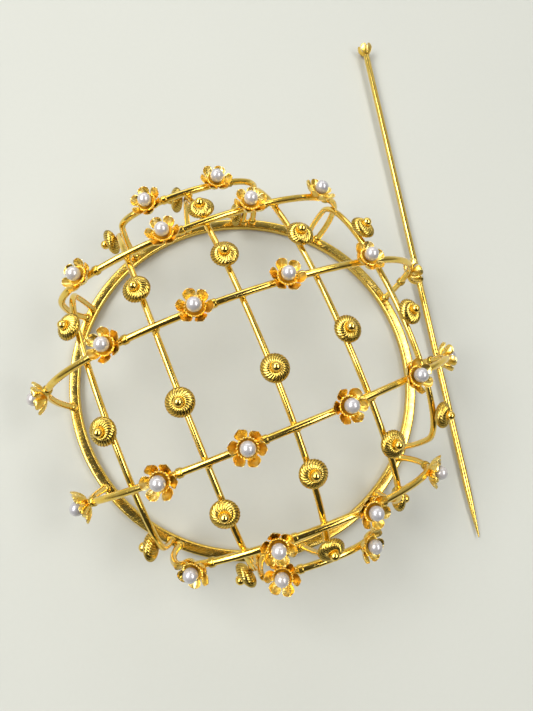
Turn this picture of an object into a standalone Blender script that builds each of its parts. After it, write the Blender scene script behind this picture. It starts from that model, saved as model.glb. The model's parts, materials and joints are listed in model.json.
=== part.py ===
"""A hair-bun cage and its loose straight pin, in metres with +Z up.

The cage is a base ring under a dome of bent wires: six flower bars run along X and pass over
five bead bars that run along Y. Everything is placed from the middle of the ring, and the
whole assembly is moved at the end, so that the origin lies under the middle of its box.
"""

from collections import namedtuple
from math import acos, cos, pi, radians, sin, sqrt

import bmesh
import bpy
from mathutils import Matrix, Vector

# A gap stands for each soldered or seated contact.
GAP = 0.0003

# Base ring: a flat band, with its corners cut off at 45 degrees.
RING_RADIUS = 0.0400
RING_WIDTH = 0.0024
RING_HEIGHT = 0.0018
RING_CHAMFER = 0.0005
RING_SEGMENTS = 60

# Dome over the ring's middle plane: it swells to a waist, then closes as half an ellipse.
DOME_SWELL = 0.0028
DOME_RADIUS = RING_RADIUS + DOME_SWELL
WAIST_HEIGHT = 0.0132
DOME_RISE = 0.0192

# Wires. A bead bar runs under the flower bars by the two half thicknesses and a gap.
FLOWER_WIRE = 0.00145
BEAD_WIRE = 0.0013
WIRE_SIDES = 6
WIRE_STEP = 0.0034
CROSSING_SPARE = 0.00015
BEAD_BAR_DROP = (FLOWER_WIRE + BEAD_WIRE) / 2 + GAP + CROSSING_SPARE
FOOT_HEIGHT = RING_HEIGHT / 2 + GAP

# Pearl, and the six-petalled cup that it sits in, measured from the wire's centre line.
PEARL_RADIUS = 0.00145
PEARL_SPARE = 0.00055
CUP_FLOOR_THICKNESS = 0.000225
CUP_FLOOR = FLOWER_WIRE / 2 + CUP_FLOOR_THICKNESS
CUP_FLOOR_RADIUS = 0.0012
CUP_WALL_RADIUS = PEARL_RADIUS + PEARL_SPARE
CUP_WALL_HEIGHT = CUP_FLOOR + 0.00045
PETAL_LENGTH = 0.0017
PETAL_RADIUS = CUP_WALL_RADIUS + PETAL_LENGTH
PETAL_HEIGHT = CUP_WALL_HEIGHT + 0.0006
PETAL_THICKNESS = 0.00035
PETAL_NOTCH = 0.17
PETALS = 6
CUP_ROOT = 0.0002

# Fluted bead with a ball on top, measured from its wire's centre line.
BEAD_RADIUS = 0.0028
BEAD_HEIGHT = 0.0024
BALL_RADIUS = 0.00085
BEAD_SEGMENTS = 10

# Loose pin, lying on what the ring stands on, with a small open flower at its head.
PIN_LENGTH = 0.1355
PIN_DIAMETER = 0.0016
PIN_TAPER = 0.0140
PIN_TIP_DIAMETER = 0.0003
PIN_FLOWER_RADIUS = 0.0020
PIN_FLOWER_LENGTH = 0.0030
PIN_CLEARANCE = 0.0066
PIN_FROM_RING = RING_RADIUS + RING_WIDTH / 2 + PIN_CLEARANCE
PIN_HEADING = radians(76.8)
PIN_TIP_RUN = 0.0452

# One bar, in ring radii: the offset of its crown from the ring's middle, and the offsets of
# its two feet. Then where its pieces sit, as shares of the wire from its crown to a foot, its
# slant in degrees, how far its flowers lean from its own plane to the dome's normal, and how
# far it bows out, in ring radii. A bead's turn rolls it about its wire, in degrees.
Bar = namedtuple("Bar", "crown feet stations slant lean bow", defaults=(0.0, 0.5, 0.0))

FLOWER_BARS = [
    Bar(0.985, (0.938, 0.920), (-0.289, 0.196), lean=0.1, bow=0.032),
    Bar(0.713, (0.700, 0.651), (-0.533, -0.163, 0.201, 0.543), slant=2.0),
    Bar(0.263, (0.182, 0.177), (-0.795, -0.441, -0.156, 0.138, 0.438, 0.817), slant=-1.0),
    Bar(-0.403, (-0.282, -0.292), (-0.780, -0.437, -0.167, 0.163, 0.434, 0.821)),
    Bar(-0.870, (-0.760, -0.725), (-0.565, -0.198, 0.224, 0.661), slant=-3.5),
    Bar(-1.040, (-0.984, -0.872), (-0.259, 0.404), slant=-6.8, lean=0.1, bow=-0.022),
]

BEAD_BARS = [
    Bar(-0.790, (-0.736, -0.702), ((-0.683, 65), (-0.078, 0), (0.409, 0))),
    Bar(-0.442, (-0.350, -0.400), ((-0.787, 50), (-0.448, 0), (-0.075, 0), (0.339, 0), (0.779, 70))),
    Bar(-0.005, (-0.087, -0.002), ((-0.675, 0), (-0.412, 0), (-0.081, 0), (0.321, 0), (0.535, 0), (0.776, 70))),
    Bar(0.390, (0.438, 0.342), ((-0.858, -45), (-0.458, 0), (-0.048, 0), (0.333, 0), (0.948, 90))),
    Bar(0.762, (0.695, 0.697), ((-0.551, 0), (-0.068, 0), (0.391, 0))),
]


def dome_radius(height, inset):
    """Radius of the dome at a height, for a wire that runs inset under its surface."""
    widest = DOME_RADIUS - inset
    if height >= WAIST_HEIGHT:
        share = (height - WAIST_HEIGHT) / (DOME_RISE - inset)
        return widest * sqrt(max(0.0, 1 - share ** 2))
    share = 1 - height / WAIST_HEIGHT
    return widest - (widest - RING_RADIUS) * share ** 2


def dome_normal(point):
    """Direction straight out of the dome at a point on it."""
    if point.z >= WAIST_HEIGHT:
        rise = (point.z - WAIST_HEIGHT) / DOME_RISE ** 2
        return Vector((point.x / DOME_RADIUS ** 2, point.y / DOME_RADIUS ** 2, rise)).normalized()
    share = 1 - point.z / WAIST_HEIGHT
    slope = 2 * (DOME_RADIUS - RING_RADIUS) * share / WAIST_HEIGHT
    outward = Vector((point.x, point.y, 0)).normalized()
    return Vector((outward.x, outward.y, -slope)).normalized()


class Arch:
    """Centre line of a bar, bent over the dome in a plane that leans in towards its feet."""

    FINE_STEPS = 240

    def __init__(self, bar, along, inset):
        slant = Matrix.Rotation(radians(bar.slant), 3, "Z")
        self.along = slant @ along
        self.across = slant @ Vector((along.y, along.x, 0))
        self.lean = bar.lean
        self.halves = {side: self.trace(bar, side, inset) for side in (-1, 1)}

    def trace(self, bar, side, inset):
        """Points from the crown to one foot, each with its distance along the wire."""
        crown = bar.crown * RING_RADIUS
        foot = bar.feet[0 if side < 0 else 1] * RING_RADIUS
        level = sqrt(1 - (crown / (DOME_RADIUS - inset)) ** 2)
        top = WAIST_HEIGHT + (DOME_RISE - inset) * level
        points = []
        travel = 0.0
        for step in range(self.FINE_STEPS + 1):
            height = top * cos(acos(FOOT_HEIGHT / top) * step / self.FINE_STEPS)
            share = height / top
            offset = foot + (crown - foot) * share + bar.bow * RING_RADIUS * sin(pi * share)
            reach = sqrt(max(0.0, dome_radius(height, inset) ** 2 - offset ** 2))
            point = self.along * reach * side + self.across * offset + Vector((0, 0, height))
            if points:
                travel += (point - points[-1][1]).length
            points.append((travel, point))
        return points

    def length(self, side):
        return self.halves[side][-1][0]

    def arc(self, station):
        """Distance along the wire for a share of the way from the crown to a foot."""
        return station * self.length(-1 if station < 0 else 1)

    def point(self, arc):
        """Place on the wire at a distance from the crown, minus towards the first foot."""
        points = self.halves[-1 if arc < 0 else 1]
        index = 1
        while index < self.FINE_STEPS and points[index][0] < abs(arc):
            index += 1
        before, after = points[index - 1], points[index]
        share = (abs(arc) - before[0]) / (after[0] - before[0])
        return before[1].lerp(after[1], share)

    def tangent(self, arc):
        """Direction of the wire, from the first foot towards the second."""
        small = WIRE_STEP / 8
        low = max(arc - small, -self.length(-1))
        high = min(arc + small, self.length(1))
        return (self.point(high) - self.point(low)).normalized()

    def outward(self, arc):
        """Direction out of the dome, square to the wire."""
        tangent = self.tangent(arc)
        normal = dome_normal(self.point(arc))
        return (normal - tangent * normal.dot(tangent)).normalized()

    def in_plane(self, arc):
        """Direction out of the arch within its own plane, square to the wire."""
        tangent = self.tangent(arc)
        side = -1 if arc < 0 else 1
        lean = self.halves[side][0][1] - self.halves[side][-1][1]
        plane = self.along.cross(lean - self.along * lean.dot(self.along)).normalized()
        normal = dome_normal(self.point(arc))
        flat = normal - plane * normal.dot(plane)
        return (flat - tangent * flat.dot(tangent)).normalized()


def seat(point, axis, tangent):
    """Placement with its origin at point, its Z on axis and its X along the wire."""
    sideways = axis.cross(tangent).normalized()
    onward = sideways.cross(axis)
    turn = Matrix((onward, sideways, axis)).transposed().to_4x4()
    return Matrix.Translation(point) @ turn


def bead_seat(arch, arc, turn):
    """Placement of a bead on its wire, rolled about the wire by turn degrees."""
    tangent = arch.tangent(arc)
    axis = Matrix.Rotation(radians(-turn), 3, tangent) @ arch.outward(arc)
    return seat(arch.point(arc), axis.normalized(), tangent)


def flower_seat(arch, arc):
    """Placement of a flower, facing between the dome's and the arch's outward directions."""
    axis = arch.in_plane(arc).lerp(arch.outward(arc), arch.lean).normalized()
    return seat(arch.point(arc), axis, arch.tangent(arc))


def skin(mesh, rings):
    """A closed body: quads between rings of points, and a flat face over each end.

    Each ring runs anticlockwise as seen from the last one, so that the faces point outwards.
    """
    loops = [[mesh.verts.new(point) for point in ring] for ring in rings]
    for lower, upper in zip(loops, loops[1:]):
        for index in range(len(lower)):
            after = (index + 1) % len(lower)
            mesh.faces.new((lower[index], lower[after], upper[after], upper[index]))
    mesh.faces.new(reversed(loops[0]))
    mesh.faces.new(loops[-1])
    return mesh


def lathe_rings(profile, segments):
    """Rings of points about Z for a profile of (radius, height) pairs."""
    corners = [2 * pi * index / segments for index in range(segments)]
    return [
        [Vector((radius * cos(turn), radius * sin(turn), height)) for turn in corners]
        for radius, height in profile
    ]


def wire_rings(arch, thickness):
    """Cross-sections of a bar, with its two end sections level on the ring."""
    low, high = -arch.length(-1), arch.length(1)
    count = round((high - low) / WIRE_STEP)
    radius = thickness / 2
    rings = []
    for step in range(count + 1):
        arc = low + (high - low) * step / count
        centre = arch.point(arc)
        out = arch.outward(arc)
        side = arch.tangent(arc).cross(out)
        ring = []
        for corner in range(WIRE_SIDES):
            turn = 2 * pi * corner / WIRE_SIDES
            ring.append(centre + (out * cos(turn) + side * sin(turn)) * radius)
        if step in (0, count):
            for point in ring:
                point.z = FOOT_HEIGHT
        rings.append(ring)
    return rings


def petal_rings(profile):
    """Rings about Z whose outline has PETALS lobes, each with a notch beside a flat tip.

    A profile point is (radius, height, depth of the notch as a share of the radius).
    """
    rings = []
    for radius, height, notch in profile:
        ring = []
        for index in range(3 * PETALS):
            turn = 2 * pi * index / (3 * PETALS)
            reach = radius * (1 - notch) if index % 3 == 0 else radius
            ring.append(Vector((reach * cos(turn), reach * sin(turn), height)))
        rings.append(ring)
    return rings


def cup_rings():
    """A flower's cup on its wire: out under the petals, over the rim and down to the floor."""
    inner = PETAL_RADIUS - PETAL_THICKNESS
    return petal_rings([
        (CUP_FLOOR_RADIUS, CUP_ROOT, 0),
        (PETAL_RADIUS, PETAL_HEIGHT, PETAL_NOTCH),
        (inner, PETAL_HEIGHT + PETAL_THICKNESS / 2, PETAL_NOTCH),
        (CUP_WALL_RADIUS, CUP_WALL_HEIGHT, 0),
        (CUP_FLOOR_RADIUS, CUP_FLOOR, 0),
    ])


def bead_rings():
    """A bead from its flat seat over its belly to the ball that closes it."""
    base = BEAD_WIRE / 2 + GAP
    top = base + BEAD_HEIGHT
    return lathe_rings([
        (0.45 * BEAD_RADIUS, base),
        (0.92 * BEAD_RADIUS, base + 0.20 * BEAD_HEIGHT),
        (BEAD_RADIUS, base + 0.50 * BEAD_HEIGHT),
        (0.78 * BEAD_RADIUS, base + 0.85 * BEAD_HEIGHT),
        (0.80 * BALL_RADIUS, top),
        (BALL_RADIUS, top + 0.6 * BALL_RADIUS),
        (0.55 * BALL_RADIUS, top + 1.4 * BALL_RADIUS),
    ], BEAD_SEGMENTS)


def material(name, colour, roughness, metallic):
    """A plain Principled material."""
    made = bpy.data.materials.new(name)
    made.use_nodes = True
    shader = made.node_tree.nodes["Principled BSDF"]
    shader.inputs["Base Color"].default_value = (*colour, 1.0)
    shader.inputs["Roughness"].default_value = roughness
    shader.inputs["Metallic"].default_value = metallic
    made.diffuse_color = (*colour, 1.0)
    return made


def add_piece(name, mesh, coat, root, placement=None):
    """Put a finished bmesh into the scene as a named piece of the assembly."""
    bmesh.ops.triangulate(mesh, faces=mesh.faces)
    data = bpy.data.meshes.new(name)
    mesh.to_mesh(data)
    mesh.free()
    data.materials.append(coat)
    piece = bpy.data.objects.new(name, data)
    bpy.context.collection.objects.link(piece)
    piece.parent = root
    if placement:
        piece.matrix_local = placement
    return piece


def base_ring(coat, root):
    """The flat band that every bar stands on."""
    half_width = RING_WIDTH / 2
    half_height = RING_HEIGHT / 2
    flat_width = half_width - RING_CHAMFER
    flat_height = half_height - RING_CHAMFER
    section = [
        (-flat_width, -half_height), (flat_width, -half_height),
        (half_width, -flat_height), (half_width, flat_height),
        (flat_width, half_height), (-flat_width, half_height),
        (-half_width, flat_height), (-half_width, -flat_height),
    ]
    mesh = bmesh.new()
    corners = [mesh.verts.new((RING_RADIUS + x, 0, z)) for x, z in section]
    edges = [mesh.edges.new((corners[index - 1], corners[index])) for index in range(len(section))]
    bmesh.ops.spin(
        mesh, geom=corners + edges, cent=(0, 0, 0), axis=(0, 0, 1), angle=2 * pi,
        steps=RING_SEGMENTS, use_merge=True,
    )
    bmesh.ops.recalc_face_normals(mesh, faces=mesh.faces)
    return add_piece("base_ring", mesh, coat, root)


def unite(bar, cups):
    """Join the soldered cups to their wire, as one solid."""
    joint = bar.modifiers.new("solder", "BOOLEAN")
    joint.operation = "UNION"
    joint.object = cups
    graph = bpy.context.evaluated_depsgraph_get()
    joined = bpy.data.meshes.new_from_object(bar.evaluated_get(graph))
    bar.modifiers.clear()
    bar.data = joined
    bpy.data.objects.remove(cups)


def flower_bars(gold, pearl, root):
    """The bars along X, each with its cups in one piece, and the pearls in the cups."""
    number = 0
    for row, bar in enumerate(FLOWER_BARS, 1):
        arch = Arch(bar, Vector((1, 0, 0)), 0.0)
        seats = [flower_seat(arch, arch.arc(station)) for station in bar.stations]
        wire = add_piece(f"flower_bar_{row}", skin(bmesh.new(), wire_rings(arch, FLOWER_WIRE)), gold, root)
        mesh = bmesh.new()
        for place in seats:
            skin(mesh, [[place @ point for point in ring] for ring in cup_rings()])
        unite(wire, add_piece("cups", mesh, gold, root))
        for place in seats:
            number += 1
            mesh = bmesh.new()
            bmesh.ops.create_uvsphere(mesh, u_segments=8, v_segments=6, radius=PEARL_RADIUS)
            above = CUP_FLOOR + GAP + PEARL_RADIUS
            add_piece(f"pearl_{number:02d}", mesh, pearl, root, place @ Matrix.Translation((0, 0, above)))


def bead_bars(gold, bead_gold, root):
    """The bars along Y, which pass under the flower bars, and the beads on them."""
    number = 0
    for row, bar in enumerate(BEAD_BARS, 1):
        arch = Arch(bar, Vector((0, 1, 0)), BEAD_BAR_DROP)
        add_piece(f"bead_bar_{row}", skin(bmesh.new(), wire_rings(arch, BEAD_WIRE)), gold, root)
        for station, turn in bar.stations:
            number += 1
            place = bead_seat(arch, arch.arc(station), turn)
            add_piece(f"bead_{number:02d}", skin(bmesh.new(), bead_rings()), bead_gold, root, place)


def loose_pin(gold, root):
    """The straight pin: a shank with a long point, and the open flower on its head."""
    ground = -RING_HEIGHT / 2
    pin_radius = PIN_DIAMETER / 2
    rise = (PIN_FLOWER_RADIUS - pin_radius) / (PIN_LENGTH - PIN_TAPER)
    heading = Vector((cos(PIN_HEADING), sin(PIN_HEADING), rise))
    nearest = Vector((sin(PIN_HEADING), -cos(PIN_HEADING), 0)) * PIN_FROM_RING
    tip = nearest - heading * PIN_TIP_RUN
    tip.z = ground + pin_radius - rise * PIN_TAPER
    head = tip + heading * PIN_LENGTH
    axis = (head - tip).normalized()
    place = seat(tip, axis, Vector((0, 0, 1)).cross(axis))
    shank_end = PIN_LENGTH - PIN_FLOWER_LENGTH
    shank = lathe_rings([
        (PIN_TIP_DIAMETER / 2, 0),
        (0.55 * pin_radius, 0.3 * PIN_TAPER),
        (0.85 * pin_radius, 0.65 * PIN_TAPER),
        (pin_radius, PIN_TAPER),
        (pin_radius, shank_end),
    ], 10)
    add_piece("pin_shank", skin(bmesh.new(), shank), gold, root, place)
    start = shank_end + GAP
    petals = petal_rings([
        (0.40 * PIN_FLOWER_RADIUS, start, 0),
        (PIN_FLOWER_RADIUS, PIN_LENGTH - PETAL_THICKNESS, PETAL_NOTCH),
        (PIN_FLOWER_RADIUS - PETAL_THICKNESS, PIN_LENGTH, PETAL_NOTCH),
        (0.30 * PIN_FLOWER_RADIUS, start + 0.35 * PIN_FLOWER_LENGTH, 0),
    ])
    add_piece("pin_flower", skin(bmesh.new(), petals), gold, root, place)


def centre_assembly(root):
    """Move the assembly so that the origin is under the middle of its box."""
    bpy.context.view_layer.update()
    corners = [
        piece.matrix_world @ vertex.co
        for piece in root.children
        for vertex in piece.data.vertices
    ]
    lows = [min(corner[axis] for corner in corners) for axis in range(3)]
    highs = [max(corner[axis] for corner in corners) for axis in range(3)]
    root.location = (-(lows[0] + highs[0]) / 2, -(lows[1] + highs[1]) / 2, -lows[2])
    bpy.context.view_layer.update()


def main():
    for item in list(bpy.data.objects):
        bpy.data.objects.remove(item)
    root = bpy.data.objects.new("ring_middle", None)
    bpy.context.collection.objects.link(root)
    ring_gold = material("ring_gold", (0.83, 0.58, 0.17), 0.22, 1.0)
    wire_gold = material("wire_gold", (0.86, 0.60, 0.16), 0.18, 1.0)
    bead_gold = material("bead_gold", (0.90, 0.66, 0.22), 0.20, 1.0)
    pin_gold = material("pin_gold", (0.84, 0.58, 0.15), 0.15, 1.0)
    pearl = material("pearl", (0.90, 0.88, 0.84), 0.12, 0.0)
    base_ring(ring_gold, root)
    flower_bars(wire_gold, pearl, root)
    bead_bars(wire_gold, bead_gold, root)
    loose_pin(pin_gold, root)
    centre_assembly(root)


main()
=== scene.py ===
import json
import random
from collections import namedtuple
from math import acos, cos, pi, radians, sin, sqrt

import bmesh
import bpy
from mathutils import Matrix, Vector, noise


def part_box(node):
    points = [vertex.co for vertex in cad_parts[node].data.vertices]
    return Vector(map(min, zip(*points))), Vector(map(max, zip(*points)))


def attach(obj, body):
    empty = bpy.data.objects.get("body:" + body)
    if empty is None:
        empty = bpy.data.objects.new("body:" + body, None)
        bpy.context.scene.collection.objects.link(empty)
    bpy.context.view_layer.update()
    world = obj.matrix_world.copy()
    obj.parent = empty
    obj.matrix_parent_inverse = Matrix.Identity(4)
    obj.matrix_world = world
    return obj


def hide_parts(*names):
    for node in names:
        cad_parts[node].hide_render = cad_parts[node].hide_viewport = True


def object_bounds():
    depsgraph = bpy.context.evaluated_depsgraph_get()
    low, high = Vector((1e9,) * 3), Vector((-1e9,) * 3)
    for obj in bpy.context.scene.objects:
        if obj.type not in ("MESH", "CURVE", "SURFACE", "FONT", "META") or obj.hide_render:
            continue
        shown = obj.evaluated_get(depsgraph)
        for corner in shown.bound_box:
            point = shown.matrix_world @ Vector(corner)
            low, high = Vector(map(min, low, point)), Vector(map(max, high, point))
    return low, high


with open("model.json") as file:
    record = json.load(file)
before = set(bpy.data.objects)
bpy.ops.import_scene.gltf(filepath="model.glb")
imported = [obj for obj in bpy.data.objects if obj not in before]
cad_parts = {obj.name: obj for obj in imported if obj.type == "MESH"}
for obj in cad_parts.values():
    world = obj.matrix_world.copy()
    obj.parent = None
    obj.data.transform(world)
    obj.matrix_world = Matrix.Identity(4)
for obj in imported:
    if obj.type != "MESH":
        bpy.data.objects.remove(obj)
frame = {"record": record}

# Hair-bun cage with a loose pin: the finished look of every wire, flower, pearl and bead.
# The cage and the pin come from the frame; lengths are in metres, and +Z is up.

bl_info = {
    "name": "Hair-bun cage and pin",
    "version": (1, 0, 0),
    "blender": (4, 5, 0),
    "location": "3D View > Sidebar > Hair Pin",
    "description": "Builds a gilt lattice cage of pearl flowers and fluted beads, and its pin",
    "category": "Add Mesh",
}

CAD_BOX = [list(corner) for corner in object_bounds()]
FLOOR = CAD_BOX[0][2]

# The ring's middle, which everything on the cage is placed from.
RING_LOW, RING_HIGH = (Vector(corner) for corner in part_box("base_ring"))
RING_CENTRE = (RING_LOW + RING_HIGH) / 2
RING_HEIGHT = RING_HIGH.z - RING_LOW.z
RING_WIDTH = 0.0024
RING_RADIUS = (RING_HIGH.x - RING_LOW.x - RING_WIDTH) / 2

# Dome over the ring: it swells to a waist, then closes as half an ellipse.
GAP = 0.0003
DOME_RADIUS = RING_RADIUS + 0.0028
WAIST_HEIGHT = 0.0132
DOME_RISE = 0.0192
FLOWER_WIRE = 0.00145
BEAD_WIRE = 0.0013
BEAD_BAR_DROP = (FLOWER_WIRE + BEAD_WIRE) / 2 + GAP + 0.00015
FOOT_HEIGHT = RING_HEIGHT / 2 + GAP
PEARL_RADIUS = 0.00145
PEARL_HEIGHT = 0.0027

# Finer detail: a collar's place beside its flower, a bead's body, its ball and its dimple.
COLLAR_FROM_FLOWER = 0.0034
BEAD_MIDDLE = 0.0021
BEAD_HALF_HEIGHT = 0.00136
BEAD_DIMPLE = 0.0009
BALL_HEIGHT = 0.00356
PIN_TIP_RADIUS = 0.00014

# Two wires cross where they pass this near in plan, and are no further apart than this.
CROSSING_IN_PLAN = 0.0012
CROSSING_APART = 0.0032

# Points closer than this are one point.
MERGE_DISTANCE = 0.000002

# One bar: crown and feet as offsets from the middle, in ring radii, and its flowers or beads
# as shares of the wire from crown to foot. Slant is in degrees, lean turns flowers outwards.
Bar = namedtuple("Bar", "crown feet stations slant lean bow", defaults=(0.0, 0.5, 0.0))

FLOWER_BARS = [
    Bar(0.985, (0.938, 0.920), (-0.289, 0.196), lean=0.1, bow=0.032),
    Bar(0.713, (0.700, 0.651), (-0.533, -0.163, 0.201, 0.543), slant=2.0),
    Bar(0.263, (0.182, 0.177), (-0.795, -0.441, -0.156, 0.138, 0.438, 0.817), slant=-1.0),
    Bar(-0.403, (-0.282, -0.292), (-0.780, -0.437, -0.167, 0.163, 0.434, 0.821)),
    Bar(-0.870, (-0.760, -0.725), (-0.565, -0.198, 0.224, 0.661), slant=-3.5),
    Bar(-1.040, (-0.984, -0.872), (-0.259, 0.404), slant=-6.8, lean=0.1, bow=-0.022),
]

# A bead's place along its wire, and how far it is rolled about it, in degrees.
BEAD_BARS = [
    Bar(-0.790, (-0.736, -0.702), ((-0.683, 65), (-0.078, 0), (0.409, 0))),
    Bar(-0.442, (-0.350, -0.400), ((-0.787, 50), (-0.448, 0), (-0.075, 0), (0.339, 0), (0.779, 70))),
    Bar(
        -0.005, (-0.087, -0.002),
        ((-0.675, 0), (-0.412, 0), (-0.081, 0), (0.321, 0), (0.535, 0), (0.776, 70)),
    ),
    Bar(0.390, (0.438, 0.342), ((-0.858, -45), (-0.458, 0), (-0.048, 0), (0.333, 0), (0.948, 90))),
    Bar(0.762, (0.695, 0.697), ((-0.551, 0), (-0.068, 0), (0.391, 0))),
]


# ---------------------------------------------------------------- settings

class HairPinSizes(bpy.types.PropertyGroup):
    petals: bpy.props.IntProperty(
        name="Petals", description="Petals of each flower", default=6, min=3)
    petal_reach: bpy.props.FloatProperty(
        name="Petal reach", description="Radius at a petal's tip",
        default=0.0037, unit="LENGTH")
    petal_width: bpy.props.FloatProperty(
        name="Petal width", description="Width of a petal at its widest",
        default=0.00260, unit="LENGTH")
    petal_wall: bpy.props.FloatProperty(
        name="Petal thickness", description="Thickness of the sheet of a petal",
        default=0.00026, unit="LENGTH")
    bezel_teeth: bpy.props.IntProperty(
        name="Bezel teeth", description="Grains round the rim that holds a pearl", default=20)
    bead_radius: bpy.props.FloatProperty(
        name="Bead radius", description="Radius of a fluted bead at its belly",
        default=0.0028, unit="LENGTH")
    bead_flutes: bpy.props.IntProperty(
        name="Flutes", description="Spiral flutes round a bead", default=24)
    ball_radius: bpy.props.FloatProperty(
        name="Ball radius", description="Radius of the ball on top of a bead",
        default=0.00100, unit="LENGTH")
    solder_radius: bpy.props.FloatProperty(
        name="Solder radius", description="Radius of the solder where two wires cross",
        default=0.000903, unit="LENGTH")
    pin_diameter: bpy.props.FloatProperty(
        name="Pin diameter", description="Thickness of the pin's shank",
        default=0.0016, unit="LENGTH")
    pin_taper: bpy.props.FloatProperty(
        name="Pin taper", description="Length of the pin's point",
        default=0.0140, unit="LENGTH")


class HairPinColours(bpy.types.PropertyGroup):
    gold: bpy.props.FloatVectorProperty(
        name="Gold", description="Polished gilding", subtype="COLOR", size=3,
        default=(0.88, 0.61, 0.12), min=0.0, max=1.0)
    # Deep gold tints the random mottling, and also colours the painted shade in recesses.
    deep_gold_and_shade: bpy.props.FloatVectorProperty(
        name="Deep gold", description="Gilding in recesses, where it stays orange",
        subtype="COLOR", size=3, default=(0.86, 0.54, 0.06), min=0.0, max=1.0)
    pale_gold: bpy.props.FloatVectorProperty(
        name="Pale gold", description="Gilding that has been rubbed bright",
        subtype="COLOR", size=3, default=(0.97, 0.82, 0.36), min=0.0, max=1.0)
    pearl: bpy.props.FloatVectorProperty(
        name="Pearl", description="Body colour of the pearls", subtype="COLOR", size=3,
        default=(0.50, 0.485, 0.49), min=0.0, max=1.0)
    floor: bpy.props.FloatVectorProperty(
        name="Floor", description="Surface that the cage stands on", subtype="COLOR", size=3,
        default=(0.48, 0.49, 0.45), min=0.0, max=1.0)


def sizes():
    return bpy.context.scene.hair_pin_sizes


def colours():
    return bpy.context.scene.hair_pin_colours


# ---------------------------------------------------------------- materials

class Socket:
    """A shader socket in a sum: an operator on it adds the Math node that works it out."""

    def __init__(self, tree, socket):
        self.tree = tree
        self.socket = socket

    def math(self, operation, first, second):
        return add_node(self.tree, "ShaderNodeMath", {"operation": operation}, {0: first, 1: second})

    def __add__(self, other):
        return self.math("ADD", self, other)

    def __radd__(self, other):
        return self.math("ADD", other, self)

    def __sub__(self, other):
        return self.math("SUBTRACT", self, other)

    def __rsub__(self, other):
        return self.math("SUBTRACT", other, self)

    def __mul__(self, other):
        return self.math("MULTIPLY", self, other)

    def __rmul__(self, other):
        return self.math("MULTIPLY", other, self)


def add_node(tree, kind, settings, values, output=0):
    """One node: its settings first, then the value or link of each socket. Gives an output."""
    node = tree.nodes.new(kind)
    for key, value in settings.items():
        setattr(node, key, value)
    plug(tree, node, values)
    return Socket(tree, node.outputs[output])


def plug(tree, node, values):
    """Give inputs of a node their values or links."""
    for key, value in values.items():
        if isinstance(value, Socket):
            tree.links.new(value.socket, node.inputs[key])
        else:
            node.inputs[key].default_value = value


def mix_colour(tree, factor, first, second):
    """Blend of two colours, each an RGB value or a socket."""
    ends = {
        6: first if isinstance(first, Socket) else (*first, 1.0),
        7: second if isinstance(second, Socket) else (*second, 1.0),
    }
    return add_node(tree, "ShaderNodeMix", {"data_type": "RGBA"}, {0: factor, **ends}, output=2)


def mottle(tree, place, scale, detail=4.0, roughness=0.55):
    """Noise from 0 to 1 on the piece's own coordinates, scale features to the metre."""
    return add_node(
        tree, "ShaderNodeTexNoise", {},
        {"Vector": place, "Scale": scale, "Detail": detail, "Roughness": roughness},
    )


def band(tree, value, low, high):
    """Value spread so that low is 0 and high is 1, and kept between them."""
    return add_node(
        tree, "ShaderNodeMapRange", {"interpolation_type": "SMOOTHSTEP"},
        {"Value": value, "From Min": low, "From Max": high},
    )


def new_material(name):
    """A material with an empty Principled shader: its tree, shader and Object coordinates."""
    made = bpy.data.materials.new(name + "_finish")
    made.use_nodes = True
    tree = made.node_tree
    place = add_node(tree, "ShaderNodeTexCoord", {}, {}, output="Object")
    return made, tree, tree.nodes["Principled BSDF"], place


def gilding(name, roughness, grain, depth, wear=0.30, shadow=1.0):
    """Gold plating: mottled, with painted shade in its recesses, rubbed pale and faintly scratched.

    Grain is the pits to the metre and depth how far they sink. Wear is the share rubbed pale,
    and shadow how light the painted shade in the recesses stays.
    """
    made, tree, shader, place = new_material(name)
    recess = add_node(tree, "ShaderNodeAttribute", {"attribute_name": "recess"}, {}, output="Fac")
    cloud = band(tree, mottle(tree, place, 170.0), 0.35, 0.7)
    rubbed = band(tree, mottle(tree, place, 620.0, detail=6.0), 0.40, 0.70)
    tint = mix_colour(tree, cloud * 0.35, colours().gold, colours().deep_gold_and_shade)
    tint = mix_colour(tree, rubbed * wear * (1.0 - recess), tint, colours().pale_gold)
    # Painted shade: the recess mask darkens the gold towards deep gold, scaled by shadow.
    recess_shade = [channel * shadow for channel in colours().deep_gold_and_shade]
    tint = mix_colour(tree, recess * 0.75, tint, recess_shade)
    scratched = add_node(
        tree, "ShaderNodeMapping", {},
        {"Vector": place, "Rotation": (0.3, 0.2, 0.5), "Scale": (1.0, 14.0, 5.0)},
    )
    scratch = band(tree, mottle(tree, scratched, 420.0, detail=8.0, roughness=0.7), 0.5, 0.66)
    pits = mottle(tree, place, grain, detail=3.0)
    rough = roughness + cloud * 0.07 + scratch * 0.10 + recess * 0.10
    bump = add_node(
        tree, "ShaderNodeBump", {},
        {"Strength": 0.35, "Distance": depth, "Height": pits + scratch * 0.35},
    )
    plug(tree, shader, {"Base Color": tint, "Metallic": 1.0, "Roughness": rough, "Normal": bump})
    return made


def pearl_lustre(name):
    """Pearl: milky layers that drift from cool grey to a warm blush, under a clear coat."""
    made, tree, shader, place = new_material(name)
    layers = band(tree, mottle(tree, place, 260.0, detail=5.0), 0.3, 0.72)
    blush = band(tree, mottle(tree, place, 90.0, detail=2.0), 0.4, 0.65)
    cool, warm = (0.44, 0.44, 0.50), (0.68, 0.61, 0.56)
    tint = mix_colour(tree, layers * 0.6, colours().pearl, cool)
    tint = mix_colour(tree, blush * 0.45, tint, warm)
    skin = mottle(tree, place, 2600.0, detail=3.0)
    bump = add_node(
        tree, "ShaderNodeBump", {}, {"Strength": 0.12, "Distance": 0.00002, "Height": skin},
    )
    plug(tree, shader, {
        "Base Color": tint, "Metallic": 0.35, "Roughness": 0.24 + layers * 0.10,
        "Coat Weight": 1.0, "Coat Roughness": 0.07, "Normal": bump,
    })
    return made


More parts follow.
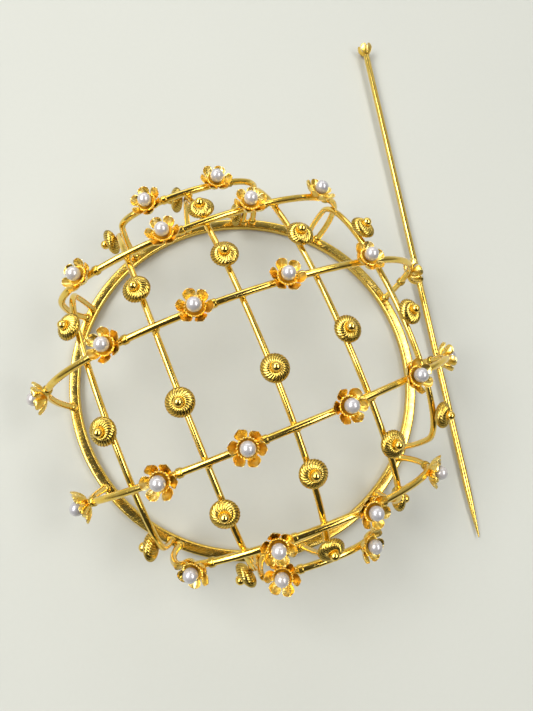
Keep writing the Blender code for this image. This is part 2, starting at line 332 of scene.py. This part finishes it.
def stone_surface(name):
    """The pale, slightly warm surface that the cage stands on, with a faint grain."""
    made, tree, shader, place = new_material(name)
    cloud = band(tree, mottle(tree, place, 9.0, detail=3.0), 0.3, 0.7)
    fleck = band(tree, mottle(tree, place, 900.0, detail=4.0), 0.3, 0.75)
    pale = [channel * 1.05 for channel in colours().floor]
    tint = mix_colour(tree, cloud * 0.4 + fleck * 0.2, colours().floor, pale)
    plug(tree, shader, {"Base Color": tint, "Roughness": 0.75})
    return made


# What makes each finish, and the settings that set it apart.
FINISHES = {
    "ring_gold": (gilding, {"roughness": 0.16, "grain": 2400.0, "depth": 0.00003}),
    "wire_gold": (gilding, {"roughness": 0.11, "grain": 3200.0, "depth": 0.00002}),
    "flower_gold": (gilding, {"roughness": 0.24, "grain": 3800.0, "depth": 0.00004, "wear": 1.0}),
    "bead_gold": (gilding, {"roughness": 0.12, "grain": 3600.0, "depth": 0.00002, "shadow": 0.05}),
    "pin_gold": (gilding, {"roughness": 0.12, "grain": 2600.0, "depth": 0.00002}),
    "pearl": (pearl_lustre, {}),
    "stone": (stone_surface, {}),
}


def material(name):
    """The finish of that name, made the first time that it is asked for."""
    make, settings = FINISHES[name]
    return bpy.data.materials.get(name + "_finish") or make(name, **settings)


# ---------------------------------------------------------------- dome and bars

def dome_radius(height, inset):
    """Radius of the dome at a height, for a wire that runs inset under its surface."""
    widest = DOME_RADIUS - inset
    if height >= WAIST_HEIGHT:
        share = (height - WAIST_HEIGHT) / (DOME_RISE - inset)
        return widest * sqrt(max(0.0, 1 - share ** 2))
    share = 1 - height / WAIST_HEIGHT
    return widest - (widest - RING_RADIUS) * share ** 2


def dome_normal(point):
    """Direction straight out of the dome at a point on it."""
    if point.z >= WAIST_HEIGHT:
        rise = (point.z - WAIST_HEIGHT) / DOME_RISE ** 2
        return Vector((point.x / DOME_RADIUS ** 2, point.y / DOME_RADIUS ** 2, rise)).normalized()
    share = 1 - point.z / WAIST_HEIGHT
    slope = 2 * (DOME_RADIUS - RING_RADIUS) * share / WAIST_HEIGHT
    outward = Vector((point.x, point.y, 0)).normalized()
    return Vector((outward.x, outward.y, -slope)).normalized()


class Arch:
    """Centre line of a bar, bent over the dome in a plane that leans in towards its feet."""

    FINE_STEPS = 240
    STRIDE = 4

    def __init__(self, bar, along, inset):
        slant = Matrix.Rotation(radians(bar.slant), 3, "Z")
        self.along = slant @ along
        self.across = slant @ Vector((along.y, along.x, 0))
        self.lean = bar.lean
        self.halves = {side: self.trace(bar, side, inset) for side in (-1, 1)}

    def trace(self, bar, side, inset):
        """Points from the crown to one foot, each with its distance along the wire."""
        crown = bar.crown * RING_RADIUS
        foot = bar.feet[0 if side < 0 else 1] * RING_RADIUS
        level = sqrt(1 - (crown / (DOME_RADIUS - inset)) ** 2)
        top = WAIST_HEIGHT + (DOME_RISE - inset) * level
        points = []
        travel = 0.0
        for step in range(self.FINE_STEPS + 1):
            height = top * cos(acos(FOOT_HEIGHT / top) * step / self.FINE_STEPS)
            share = height / top
            offset = foot + (crown - foot) * share + bar.bow * RING_RADIUS * sin(pi * share)
            reach = sqrt(max(0.0, dome_radius(height, inset) ** 2 - offset ** 2))
            point = self.along * reach * side + self.across * offset + Vector((0, 0, height))
            if points:
                travel += (point - points[-1][1]).length
            points.append((travel, point))
        return points

    def length(self, side):
        return self.halves[side][-1][0]

    def arc(self, station):
        """Distance along the wire for a share of the way from the crown to a foot."""
        return station * self.length(-1 if station < 0 else 1)

    def point(self, arc):
        """Place on the wire at a distance from the crown, minus towards the first foot."""
        points = self.halves[-1 if arc < 0 else 1]
        index = 1
        while index < self.FINE_STEPS and points[index][0] < abs(arc):
            index += 1
        before, after = points[index - 1], points[index]
        share = (abs(arc) - before[0]) / (after[0] - before[0])
        return before[1].lerp(after[1], share)

    def tangent(self, arc):
        """Direction of the wire, from the first foot towards the second."""
        small = 0.0004
        low = max(arc - small, -self.length(-1))
        high = min(arc + small, self.length(1))
        return (self.point(high) - self.point(low)).normalized()

    def outward(self, arc):
        """Direction out of the dome, square to the wire."""
        tangent = self.tangent(arc)
        normal = dome_normal(self.point(arc))
        return (normal - tangent * normal.dot(tangent)).normalized()

    def in_plane(self, arc):
        """Direction out of the arch within its own plane, square to the wire."""
        tangent = self.tangent(arc)
        side = -1 if arc < 0 else 1
        lean = self.halves[side][0][1] - self.halves[side][-1][1]
        plane = self.along.cross(lean - self.along * lean.dot(self.along)).normalized()
        normal = dome_normal(self.point(arc))
        flat = normal - plane * normal.dot(plane)
        return (flat - tangent * flat.dot(tangent)).normalized()

    def run(self):
        """One in STRIDE of the traced points, from the first foot to the second."""
        first = [point for _, point in reversed(self.halves[-1])]
        return (first + [point for _, point in self.halves[1][1:]])[::self.STRIDE]


def flower_arches():
    return [Arch(bar, Vector((1, 0, 0)), 0.0) for bar in FLOWER_BARS]


def bead_arches():
    return [Arch(bar, Vector((0, 1, 0)), BEAD_BAR_DROP) for bar in BEAD_BARS]


def seat(point, axis, tangent):
    """Placement on the frame, with its Z on axis and its X along the wire."""
    sideways = axis.cross(tangent).normalized()
    onward = sideways.cross(axis)
    turn = Matrix((onward, sideways, axis)).transposed().to_4x4()
    return Matrix.Translation(RING_CENTRE + point) @ turn


def flower_seats():
    """Placement of every flower, bar by bar."""
    places = []
    for arch, bar in zip(flower_arches(), FLOWER_BARS):
        for station in bar.stations:
            arc = arch.arc(station)
            axis = arch.in_plane(arc).lerp(arch.outward(arc), arch.lean).normalized()
            places.append(seat(arch.point(arc), axis, arch.tangent(arc)))
    return places


def bead_seats():
    """Placement of every bead, bar by bar."""
    places = []
    for arch, bar in zip(bead_arches(), BEAD_BARS):
        for station, turn in bar.stations:
            arc = arch.arc(station)
            tangent = arch.tangent(arc)
            axis = Matrix.Rotation(radians(-turn), 3, tangent) @ arch.outward(arc)
            places.append(seat(arch.point(arc), axis.normalized(), tangent))
    return places


def crossings(arch, others):
    """Where a bar passes over or under one of the others: each middle, and the way across."""
    found = []
    for other in others:
        pairs = [
            ((near.xy - far.xy).length, near, far)
            for near in arch.run() for far in other.run()
        ]
        apart, near, far = min(pairs, key=lambda pair: pair[0])
        if apart < CROSSING_IN_PLAN and (near - far).length < CROSSING_APART:
            found.append(((near + far) / 2, near - far))
    return found


# ---------------------------------------------------------------- shaping tools

def new_mesh():
    """An empty bmesh whose points carry how deep they lie in a recess, which sets their painted shade
    and adds roughness.
    """
    mesh = bmesh.new()
    return mesh, mesh.verts.layers.float.new("recess")


def turn_profile(mesh, profile, segments):
    """A body of revolution about Z from (radius, height) points. Gives its points."""
    known = set(mesh.verts)
    line = [mesh.verts.new((radius, 0, height)) for radius, height in profile]
    edges = [mesh.edges.new(pair) for pair in zip(line, line[1:])]
    bmesh.ops.spin(
        mesh, geom=line + edges, cent=(0, 0, 0), axis=(0, 0, 1), angle=2 * pi,
        steps=segments, use_merge=True,
    )
    turned = [vert for vert in mesh.verts if vert not in known]
    bmesh.ops.remove_doubles(mesh, verts=turned, dist=MERGE_DISTANCE)
    turned = [vert for vert in turned if vert.is_valid]
    bmesh.ops.recalc_face_normals(mesh, faces=faces_of(turned))
    return turned


def faces_of(verts):
    """Every face that meets any of the points."""
    return list({face for vert in verts for face in vert.link_faces})


def finish_piece(name, mesh, coat, body, node, rounds=0, sharp=None):
    """Put a finished bmesh into the scene as a piece that rides on a body for a CAD node."""
    data = bpy.data.meshes.new(name)
    mesh.to_mesh(data)
    mesh.free()
    data.shade_smooth()
    if sharp:
        data.set_sharp_from_angle(angle=sharp)
    data.materials.append(material(coat))
    piece = bpy.data.objects.new(name, data)
    bpy.context.scene.collection.objects.link(piece)
    if rounds:
        smoother = piece.modifiers.new("Subdivision", "SUBSURF")
        smoother.levels = rounds
        smoother.render_levels = rounds
    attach(piece, body)
    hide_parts(node)


def add_wire(mesh, points, thickness):
    """A round wire through the points, with closed ends, in a mesh that is still empty."""
    curve = bpy.data.curves.new("wire", "CURVE")
    curve.dimensions = "3D"
    curve.bevel_depth = thickness / 2
    curve.bevel_resolution = 6
    curve.use_fill_caps = True
    spline = curve.splines.new("POLY")
    spline.points.add(len(points) - 1)
    for index, (slot, point) in enumerate(zip(spline.points, points)):
        slot.co = (*(RING_CENTRE + point), 1.0)
        slot.radius = 1.0 + 0.03 * noise.noise(point * 400.0)
    holder = bpy.data.objects.new("wire", curve)
    bpy.context.scene.collection.objects.link(holder)
    graph = bpy.context.evaluated_depsgraph_get()
    swept = bpy.data.meshes.new_from_object(holder.evaluated_get(graph))
    mesh.from_mesh(swept)
    bmesh.ops.remove_doubles(mesh, verts=mesh.verts, dist=MERGE_DISTANCE)
    bpy.data.objects.remove(holder)
    bpy.data.curves.remove(curve)
    bpy.data.meshes.remove(swept)


def add_solder(mesh, recess, centre, axis, radius, stretch):
    """A lump of solder: a small ball drawn along an axis, with an uneven skin."""
    lump = bmesh.ops.create_icosphere(mesh, subdivisions=3, radius=radius)["verts"]
    turn = axis.to_track_quat("Z", "Y").to_matrix()
    for vert in lump:
        vert.co.z *= stretch
        vert.co = turn @ vert.co
        vert.co *= 1.0 + 0.10 * noise.noise((vert.co + centre) * 900.0)
        # The whole lump is tinted a little towards the darker recess colour.
        vert[recess] = 0.15
    bmesh.ops.translate(mesh, verts=lump, vec=RING_CENTRE + centre)


# ---------------------------------------------------------------- cage

class HAIRPIN_OT_ring(bpy.types.Operator):
    """Turn the flat polished band that every bar stands on"""

    bl_idname = "hairpin.ring"
    bl_label = "Base Ring"

    def execute(self, context):
        mesh, recess = new_mesh()
        half_width, half_height, corner = RING_WIDTH / 2, RING_HEIGHT / 2, 0.00055
        steps, round_steps = 5, 220
        section = []
        for quarter, (side, up) in enumerate(((1, 1), (-1, 1), (-1, -1), (1, -1))):
            for step in range(steps + 1):
                turn = (quarter + step / steps) * pi / 2
                section.append(mesh.verts.new((
                    RING_RADIUS + side * (half_width - corner) + corner * cos(turn), 0,
                    up * (half_height - corner) + corner * sin(turn),
                )))
        edges = [mesh.edges.new((section[index - 1], section[index])) for index in range(len(section))]
        bmesh.ops.spin(
            mesh, geom=section + edges, cent=(0, 0, 0), axis=(0, 0, 1), angle=2 * pi,
            steps=round_steps, use_merge=True,
        )
        bmesh.ops.recalc_face_normals(mesh, faces=mesh.faces)
        for vert in mesh.verts:
            sway = noise.noise(Vector((vert.co.x, vert.co.y, 0)) * 45.0)
            vert.co.xy *= 1.0 + 0.0012 * sway
            # Painted shade on the lower part of the band.
            vert[recess] = 0.35 if vert.co.z < -0.3 * half_height else 0.0
        bmesh.ops.translate(mesh, verts=mesh.verts, vec=RING_CENTRE)
        finish_piece("base_ring_band", mesh, "ring_gold", "cage", "base_ring")
        return {"FINISHED"}


class HAIRPIN_OT_flower_bars(bpy.types.Operator):
    """Bend the six wires that carry the flowers, and solder their feet to the ring"""

    bl_idname = "hairpin.flower_bars"
    bl_label = "Flower Bars"

    def execute(self, context):
        for row, (arch, bar) in enumerate(zip(flower_arches(), FLOWER_BARS), 1):
            mesh, recess = new_mesh()
            add_wire(mesh, arch.run(), FLOWER_WIRE)
            add_feet(mesh, recess, arch, FLOWER_WIRE)
            for station in bar.stations:
                add_collar(mesh, recess, arch, arch.arc(station) + COLLAR_FROM_FLOWER)
            name = f"flower_bar_{row}"
            finish_piece(name + "_wire", mesh, "wire_gold", "cage", name)
        return {"FINISHED"}


class HAIRPIN_OT_bead_bars(bpy.types.Operator):
    """Bend the five wires that carry the beads, and solder them under the flower bars"""

    bl_idname = "hairpin.bead_bars"
    bl_label = "Bead Bars"

    def execute(self, context):
        over = flower_arches()
        for row, arch in enumerate(bead_arches(), 1):
            mesh, recess = new_mesh()
            add_wire(mesh, arch.run(), BEAD_WIRE)
            add_feet(mesh, recess, arch, BEAD_WIRE)
            for middle, across in crossings(arch, over):
                add_solder(mesh, recess, middle, across, sizes().solder_radius, 1.25)
            name = f"bead_bar_{row}"
            finish_piece(name + "_wire", mesh, "wire_gold", "cage", name)
        return {"FINISHED"}


def add_feet(mesh, recess, arch, thickness):
    """A fillet of solder round each end of a bar, down to the ring."""
    for side in (-1, 1):
        end = arch.halves[side][-1][1]
        centre = Vector((end.x, end.y, RING_HEIGHT / 2 + 0.35 * thickness))
        add_solder(mesh, recess, centre, Vector((0, 0, 1)), 0.68 * thickness, 0.85)


def add_collar(mesh, recess, arch, arc):
    """A short grooved sleeve on a wire, beside its flower."""
    low, high, end, groove = 0.00084, 0.00100, 0.0006, 0.00090
    grooves = [(high if step % 2 else low, end * (step / 4 - 1) * 0.8) for step in range(9)]
    sleeve = turn_profile(mesh, [(0, -end), (low, -end), *grooves, (low, end), (0, end)], 20)
    # Painted shade in the sleeve's grooves.
    for vert in sleeve:
        vert[recess] = 0.7 if vert.co.xy.length < groove else 0.0
    along = seat(arch.point(arc), arch.tangent(arc), arch.outward(arc))
    bmesh.ops.transform(mesh, matrix=along, verts=sleeve)


def petal_outline(along):
    """Share of its full width that a petal has at a share of its length."""
    neck, belly = 0.30, 0.70
    if along < belly:
        return 0.42 + 0.58 * sin(pi / 2 * max(0.0, along - neck) / (belly - neck))
    return 0.22 + 0.78 * sqrt(max(0.0, 1 - ((along - belly) / (1 - belly)) ** 2.4))


def thicken(mesh, grid, turn):
    """Give a grid its wall of sheet, and turn it round to its place in the flower."""
    wall = bmesh.ops.solidify(mesh, geom=faces_of(grid), thickness=sizes().petal_wall)["geom"]
    whole = list({item for item in wall if isinstance(item, bmesh.types.BMVert)} | set(grid))
    bmesh.ops.rotate(mesh, verts=whole, cent=(0, 0, 0), matrix=Matrix.Rotation(turn, 3, "Z"))


def add_petal(mesh, recess, turn, sway):
    """One spade-shaped petal: a grid drawn to its outline, cupped, and given a thickness."""
    root, reach, width = 0.0007, sizes().petal_reach * sway, sizes().petal_width
    grid = bmesh.ops.create_grid(mesh, x_segments=9, y_segments=6, size=1.0)["verts"]
    for vert in grid:
        along, across = (vert.co.x + 1) / 2, vert.co.y
        spread = petal_outline(along)
        radius = root + (reach - root) * along - 0.0002 * across ** 2 * along
        rise = 0.00050 + 0.00160 * along ** 1.2 + 0.00030 * along ** 6
        hollow = 0.00050 * across ** 2 * spread - 0.00030 * (1 - across ** 2) * sin(pi * along)
        vert.co = (radius, across * spread * width / 2, rise + hollow)
        # Painted shade towards the petal's root, in the middle of the flower.
        vert[recess] = max(0.0, 0.8 - 1.7 * along)
    thicken(mesh, grid, turn)


def add_bezel(mesh, recess):
    """The milled cup that a pearl sits in, with grains round its rim."""
    teeth = sizes().bezel_teeth
    profile = [
        (0, 0.00062), (0.0009, 0.00064), (0.00150, 0.00082), (0.00190, 0.00112),
        (0.00206, 0.00148), (0.00200, 0.00180), (0.00178, 0.00186), (0.00160, 0.00160),
        (0.00146, 0.00136), (0.00105, 0.00120), (0, 0.00119),
    ]
    inside, floor, rim = 0.0017, 0.0009, 0.0013
    for vert in turn_profile(mesh, profile, teeth * 4):
        # Painted shade inside the cup, under the pearl.
        if vert.co.xy.length < inside:
            vert[recess] = 1.0 if vert.co.z > floor else 0.6
            continue
        tooth = cos(teeth * Vector((1, 0)).angle_signed(vert.co.xy))
        vert.co.xy *= 1.0 + 0.075 * tooth
        if vert.co.z > rim:
            vert.co.z += 0.00018 * tooth
        # Painted shade between the grains of the rim.
        vert[recess] = 0.35 - 0.35 * tooth


class HAIRPIN_OT_flowers(bpy.types.Operator):
    """Stamp the petals, set them round their milled bezels and place them on the bars"""

    bl_idname = "hairpin.flowers"
    bl_label = "Flowers"

    def execute(self, context):
        chance = random.Random(11)
        count = sizes().petals
        bars = [row for row, bar in enumerate(FLOWER_BARS, 1) for _ in bar.stations]
        for number, (place, row) in enumerate(zip(flower_seats(), bars), 1):
            mesh, recess = new_mesh()
            start = chance.uniform(0, 2 * pi / count)
            for petal in range(count):
                turn = start + 2 * pi * petal / count + chance.uniform(-0.05, 0.05)
                add_petal(mesh, recess, turn, chance.uniform(0.95, 1.0))
            add_bezel(mesh, recess)
            bmesh.ops.transform(mesh, matrix=place, verts=mesh.verts)
            finish_piece(
                f"flower_{number:02d}", mesh, "flower_gold", "cage",
                f"flower_bar_{row}", rounds=1,
            )
        return {"FINISHED"}


class HAIRPIN_OT_pearls(bpy.types.Operator):
    """Seat a pearl in each flower"""

    bl_idname = "hairpin.pearls"
    bl_label = "Pearls"

    def execute(self, context):
        for number, place in enumerate(flower_seats(), 1):
            mesh, _ = new_mesh()
            bmesh.ops.create_uvsphere(mesh, u_segments=32, v_segments=20, radius=PEARL_RADIUS)
            for vert in mesh.verts:
                vert.co *= 0.995 + 0.010 * noise.noise(vert.co * 500.0 + Vector((number, 0, 0)))
            lift = Matrix.Translation((0, 0, PEARL_HEIGHT))
            bmesh.ops.transform(mesh, matrix=place @ lift, verts=mesh.verts)
            name = f"pearl_{number:02d}"
            finish_piece(name + "_ball", mesh, "pearl", "cage", name)
        return {"FINISHED"}


def bead_profile():
    """Half outline of a bead's body: a squashed ball with a dimple under its top ball."""
    lowest, highest, steps = -90, 62, 16
    outline = []
    for step in range(steps + 1):
        rise = radians(lowest + (highest - lowest) * step / steps)
        radius = sizes().bead_radius * max(0.0, cos(rise)) ** 0.85
        outline.append((radius, BEAD_MIDDLE + BEAD_HALF_HEIGHT * sin(rise)))
    return outline + [(0.00102, 0.00326), (0.00080, 0.00308), (0, 0.00304)]


def add_bead_body(mesh, recess):
    """The fluted body: each flute is a rounded ridge that winds from the ball to the wire."""
    flutes, radius = sizes().bead_flutes, sizes().bead_radius
    squash = radius / BEAD_HALF_HEIGHT
    top, fall, twist = 0.0034, 0.0027, radians(62)
    for vert in turn_profile(mesh, bead_profile(), flutes * 6):
        reach = vert.co.xy.length
        # Painted shade in the dimple under the ball.
        if reach < BEAD_DIMPLE:
            vert[recess] = 1.0
            continue
        turn = Vector((1, 0)).angle_signed(vert.co.xy)
        wind = twist * (top - vert.co.z) / fall
        ridge = abs(cos(flutes / 2 * (wind - turn))) ** 0.8
        fade = min(1.0, (reach - BEAD_DIMPLE) / 0.0004)
        out = Vector((vert.co.x, vert.co.y, (vert.co.z - BEAD_MIDDLE) * squash)).normalized()
        vert.co -= out * 0.14 * reach * (1 - ridge) * fade
        # Painted shade in the grooves between the flutes.
        vert[recess] = min(1.0, 1.5 * (1 - ridge)) * fade


class HAIRPIN_OT_beads(bpy.types.Operator):
    """Cast the fluted beads, each with the ball that closes it"""

    bl_idname = "hairpin.beads"
    bl_label = "Beads"

    def execute(self, context):
        chance = random.Random(23)
        for number, place in enumerate(bead_seats(), 1):
            mesh, recess = new_mesh()
            add_bead_body(mesh, recess)
            bmesh.ops.create_uvsphere(
                mesh, u_segments=28, v_segments=18, radius=sizes().ball_radius,
                matrix=Matrix.Translation((0, 0, BALL_HEIGHT)),
            )
            twist = Matrix.Rotation(chance.uniform(0, 2 * pi), 4, "Z")
            bmesh.ops.transform(mesh, matrix=place @ twist, verts=mesh.verts)
            name = f"bead_{number:02d}"
            finish_piece(name + "_cast", mesh, "bead_gold", "cage", name)
        return {"FINISHED"}


# ---------------------------------------------------------------- pin

def pin_placement():
    """Where the pin starts at its tip, with its Z towards the head, and its whole length."""
    corners = [Vector(vert.co) for vert in bpy.data.objects["pin_shank"].data.vertices]
    heading = Vector(joint_axis("pin_draw"))
    middle = mean(corners)
    slice_depth = 0.0004
    places = [(corner - middle).dot(heading) for corner in corners]
    tip = mean([c for c, place in zip(corners, places) if place < min(places) + slice_depth])
    head = mean([c for c, place in zip(corners, places) if place > max(places) - slice_depth])
    axis = (head - tip).normalized()
    side = Vector((0, 0, 1)).cross(axis).normalized()
    turn = Matrix((side, axis.cross(side), axis)).transposed().to_4x4()
    return Matrix.Translation(tip) @ turn, (head - tip).length


def mean(points):
    return sum(points, Vector()) / len(points)


def joint_axis(name):
    for joint in frame["record"]["behaviour"]["joints"]:
        if joint["name"] == name:
            return joint["axis"]
    raise ValueError(f"no joint {name}")


class HAIRPIN_OT_pin_shank(bpy.types.Operator):
    """Draw the pin's shank down to its long point"""

    bl_idname = "hairpin.pin_shank"
    bl_label = "Pin Shank"

    def execute(self, context):
        place, length = pin_placement()
        radius, taper = sizes().pin_diameter / 2, sizes().pin_taper
        profile = [(0, 0), (0.00012, 0.00004)]
        point_steps, shank_steps = 14, 12
        for step in range(1, point_steps + 1):
            share = step / point_steps
            swell = (radius - PIN_TIP_RADIUS) * sin(pi / 2 * share) ** 0.9
            profile.append((PIN_TIP_RADIUS + swell, share * taper))
        for step in range(1, shank_steps + 1):
            profile.append((radius, taper + (length - taper) * step / shank_steps))
        profile.append((0, length))
        mesh, _ = new_mesh()
        turn_profile(mesh, profile, 40)
        bmesh.ops.transform(mesh, matrix=place, verts=mesh.verts)
        finish_piece(
            "pin_shank_drawn", mesh, "pin_gold", "pin", "pin_shank", sharp=radians(50))
        return {"FINISHED"}


def add_cupped_petal(mesh, recess, count, turn):
    """One upright petal of the pin's flower, as wide as its share of the round."""
    root, reach, shoulder = 0.00062, 0.00195, 0.6
    grid = bmesh.ops.create_grid(mesh, x_segments=8, y_segments=6, size=1.0)["verts"]
    for vert in grid:
        along, across = (vert.co.x + 1) / 2, vert.co.y
        past = max(0.0, along - shoulder) / (1 - shoulder)
        spread = 0.30 + 0.70 * sqrt(max(0.0, 1 - past ** 2))
        radius = root + (reach - root) * sin(pi / 2 * along) ** 0.9
        half = radius * 3.18 / count * spread * (0.9 + 0.1 * along)
        vert.co = (radius - 0.00012 * across ** 2, across * half, 0.0003 + 0.0026 * along)
        # Painted shade towards the root of the petal.
        vert[recess] = 0.9 - 0.9 * along
    thicken(mesh, grid, turn)


class HAIRPIN_OT_pin_flower(bpy.types.Operator):
    """Form the small open flower on the pin's head"""

    bl_idname = "hairpin.pin_flower"
    bl_label = "Pin Flower"

    def execute(self, context):
        place, length = pin_placement()
        count = sizes().petals
        mesh, recess = new_mesh()
        for petal in range(count):
            add_cupped_petal(mesh, recess, count, 2 * pi * petal / count)
        cap = [
            (0, 0.0002), (0.0008, 0.0002), (0.00105, 0.0005),
            (0.00100, 0.0010), (0.0005, 0.0012), (0, 0.0012),
        ]
        # Painted shade on the cap in the flower's middle.
        for vert in turn_profile(mesh, cap, 24):
            vert[recess] = 0.7
        lift = Matrix.Translation((0, 0, length))
        bmesh.ops.transform(mesh, matrix=place @ lift, verts=mesh.verts)
        finish_piece(
            "pin_flower_open", mesh, "flower_gold", "pin", "pin_flower", rounds=1)
        return {"FINISHED"}


# ---------------------------------------------------------------- stage

# The camera's place from the ring's middle, and the three directions that it is turned by.
CAMERA_FROM_RING = Vector((-0.02148, -0.01983, 0.13001))
CAMERA_RIGHT = Vector((0.91522, -0.38296, 0.12535))
CAMERA_UP = Vector((0.34711, 0.90726, 0.23747))
CAMERA_BACK = Vector((-0.20467, -0.17383, 0.96327))
FOCAL_LENGTH = 28.26
SENSOR_HEIGHT = 36.0

# Half the floor's side, and how far it lies under the feet so that they don't share a face.
FLOOR_REACH = 6.0
FLOOR_DROP = 0.00005

# Soft panels: the way to each as right, up and back from the camera, its distance and size.
SoftLight = namedtuple("SoftLight", "name way distance width height watts colour")
LIGHTS = (
    SoftLight("left_window", (-0.52, 0.30, 0.80), 0.75, 0.36, 0.72, 6.4, (1.0, 0.99, 0.97)),
    SoftLight("right_window", (0.62, 0.14, 0.77), 0.75, 0.26, 0.62, 3.4, (1.0, 0.98, 0.95)),
    SoftLight("back_fill", (0.0, 0.95, 0.30), 0.9, 0.9, 0.30, 1.8, (1.0, 1.0, 1.0)),
)


def lay_floor(scene):
    """The pale surface under the cage and the pin."""
    mesh, _ = new_mesh()
    bmesh.ops.create_grid(mesh, x_segments=2, y_segments=2, size=FLOOR_REACH)
    bmesh.ops.translate(mesh, verts=mesh.verts, vec=(0, 0, FLOOR - FLOOR_DROP))
    data = bpy.data.meshes.new("floor")
    mesh.to_mesh(data)
    mesh.free()
    data.materials.append(material("stone"))
    floor = bpy.data.objects.new("floor", data)
    scene.collection.objects.link(floor)


def hang_light(scene, soft):
    """A soft panel that faces the cage."""
    panel = bpy.data.lights.new(soft.name, "AREA")
    panel.shape = "RECTANGLE"
    panel.size = soft.width
    panel.size_y = soft.height
    panel.energy = soft.watts
    panel.color = soft.colour
    right, up, back = soft.way
    away = (CAMERA_RIGHT * right + CAMERA_UP * up + CAMERA_BACK * back).normalized()
    side = CAMERA_UP.cross(away).normalized()
    turn = Matrix((side, away.cross(side), away)).transposed().to_4x4()
    holder = bpy.data.objects.new(soft.name, panel)
    holder.matrix_world = Matrix.Translation(RING_CENTRE + away * soft.distance) @ turn
    scene.collection.objects.link(holder)


def light_room(scene):
    """Soft light from all round, dark straight overhead and towards -Y, for the gold to mirror."""
    world = bpy.data.worlds.new("room")
    world.use_nodes = True
    tree = world.node_tree
    look = add_node(tree, "ShaderNodeTexCoord", {}, {}, output="Generated")
    toward = add_node(tree, "ShaderNodeSeparateXYZ", {}, {0: look}, output="Y")
    upward = add_node(tree, "ShaderNodeSeparateXYZ", {}, {0: look}, output="Z")
    glow = band(tree, 1.0 - upward, 0.03, 0.30) * band(tree, toward, -0.75, 0.50)
    shade = mix_colour(tree, glow, (0.09, 0.088, 0.082), (1.0, 1.0, 0.98))
    plug(tree, tree.nodes["Background"], {"Color": shade, "Strength": 0.50})
    scene.world = world


def set_camera(scene):
    """The camera, over the front left of the cage and looking down into it."""
    lens = bpy.data.cameras.new("camera")
    lens.sensor_fit = "VERTICAL"
    lens.sensor_height = SENSOR_HEIGHT
    lens.lens = FOCAL_LENGTH
    lens.clip_start = 0.005
    camera = bpy.data.objects.new("camera", lens)
    turn = Matrix((CAMERA_RIGHT, CAMERA_UP, CAMERA_BACK)).transposed().to_4x4()
    camera.matrix_world = Matrix.Translation(RING_CENTRE + CAMERA_FROM_RING) @ turn
    scene.collection.objects.link(camera)
    scene.camera = camera


class HAIRPIN_OT_stage(bpy.types.Operator):
    """Lay the pale floor, hang the lights and set up the camera"""

    bl_idname = "hairpin.stage"
    bl_label = "Stage"

    def execute(self, context):
        scene = context.scene
        lay_floor(scene)
        for soft in LIGHTS:
            hang_light(scene, soft)
        light_room(scene)
        scene.view_settings.view_transform = "Standard"
        set_camera(scene)
        return {"FINISHED"}


# ---------------------------------------------------------------- panel

STEPS = (
    HAIRPIN_OT_ring, HAIRPIN_OT_flower_bars, HAIRPIN_OT_bead_bars, HAIRPIN_OT_flowers,
    HAIRPIN_OT_pearls, HAIRPIN_OT_beads, HAIRPIN_OT_pin_shank, HAIRPIN_OT_pin_flower,
    HAIRPIN_OT_stage,
)


class HAIRPIN_PT_panel(bpy.types.Panel):
    """The sizes, the colours and the steps that build the cage and its pin"""

    bl_label = "Hair Pin"
    bl_idname = "HAIRPIN_PT_panel"
    bl_space_type = "VIEW_3D"
    bl_region_type = "UI"
    bl_category = "Hair Pin"

    def draw(self, context):
        for group in (sizes(), colours()):
            for name in type(group).__annotations__:
                self.layout.prop(group, name)
        for step in STEPS:
            self.layout.operator(step.bl_idname)


CLASSES = (HairPinSizes, HairPinColours, *STEPS, HAIRPIN_PT_panel)


def register():
    for item in CLASSES:
        bpy.utils.register_class(item)
    bpy.types.Scene.hair_pin_sizes = bpy.props.PointerProperty(type=HairPinSizes)
    bpy.types.Scene.hair_pin_colours = bpy.props.PointerProperty(type=HairPinColours)


def unregister():
    del bpy.types.Scene.hair_pin_colours
    del bpy.types.Scene.hair_pin_sizes
    for item in reversed(CLASSES):
        bpy.utils.unregister_class(item)


def main():
    register()
    bpy.ops.hairpin.ring()
    bpy.ops.hairpin.flower_bars()
    bpy.ops.hairpin.bead_bars()
    bpy.ops.hairpin.flowers()
    bpy.ops.hairpin.pearls()
    bpy.ops.hairpin.beads()
    bpy.ops.hairpin.pin_shank()
    bpy.ops.hairpin.pin_flower()
    bpy.ops.hairpin.stage()


if __name__ == "__main__":
    main()
